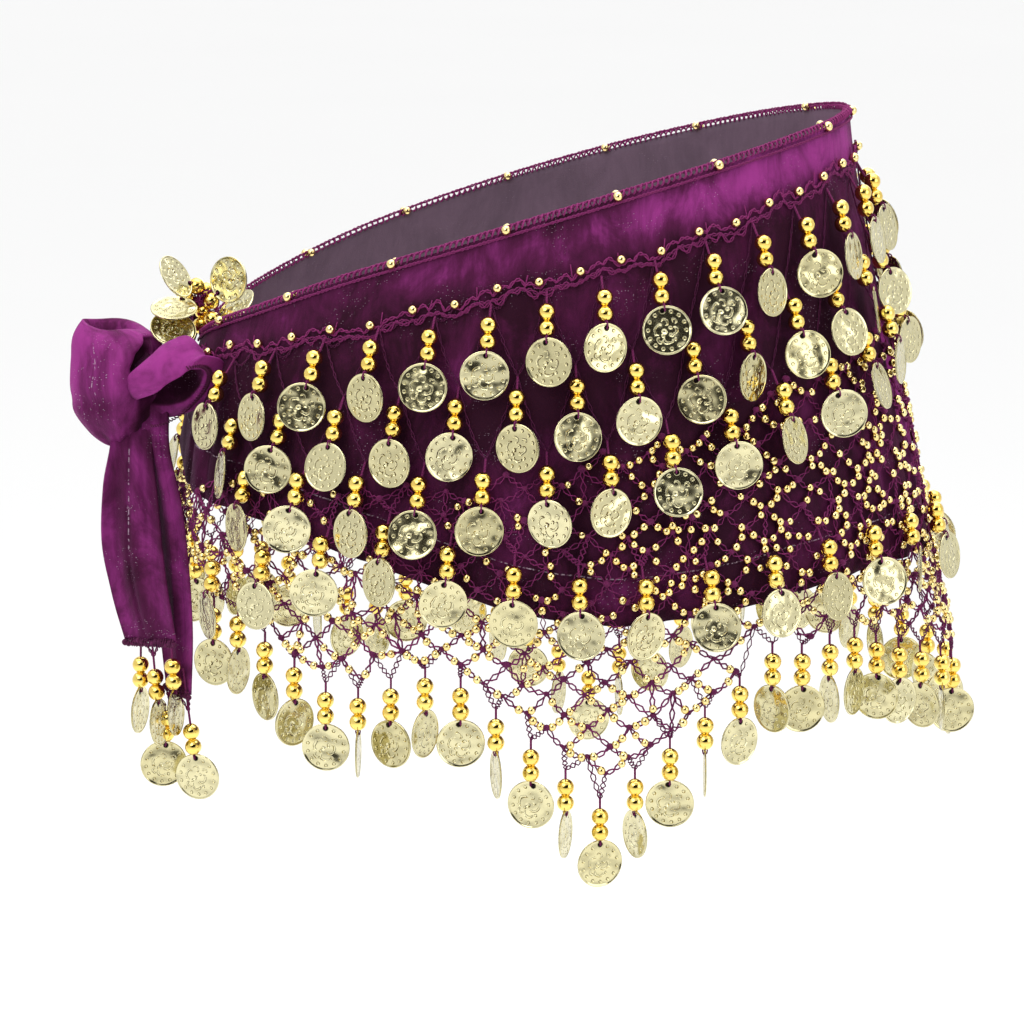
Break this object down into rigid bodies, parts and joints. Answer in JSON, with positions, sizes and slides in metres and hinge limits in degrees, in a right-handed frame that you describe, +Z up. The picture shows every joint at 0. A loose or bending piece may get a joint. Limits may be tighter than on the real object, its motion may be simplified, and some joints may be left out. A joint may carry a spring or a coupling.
{
  "type": "belly dance hip scarf, worn",
  "caption": "Velvet hip scarf tied at one hip, its shaped wrap hung with rows of beaded coin drops over a pointed beaded net hem.",
  "frame": {"origin": "centre of the scarf's top opening, on the upright axis of the hips it goes round", "axes": "+Z up along the wearer's body, +X from the knot towards the scarf's middle, -Y towards the side that the picture shows"},
  "size_m": [0.3903, 0.2741, 0.3096],
  "materials": {
    "velvet": "crushed velvet, deep purple",
    "crochet_thread": "twisted crochet thread, purple",
    "gold_coins_and_beads": "polished, gold coloured"
  },
  "bodies": {
    "root": {"velvet_wrap": "velvet", "top_edging": "crochet_thread", "net_front": "crochet_thread", "net_back": "crochet_thread", "coin_row_1": "gold_coins_and_beads", "coin_row_2": "gold_coins_and_beads", "coin_row_3": "gold_coins_and_beads", "coin_row_4": "gold_coins_and_beads", "hem_drops_front": "gold_coins_and_beads", "hem_drops_back": "gold_coins_and_beads", "knot_loop": "velvet", "knot_lobe": "velvet", "tail_front": "velvet", "tail_rear": "velvet", "tie_tip": "velvet", "tail_front_drops": "gold_coins_and_beads", "tail_rear_drops": "gold_coins_and_beads", "tie_tip_drops": "gold_coins_and_beads"}
  },
  "joints": []
}
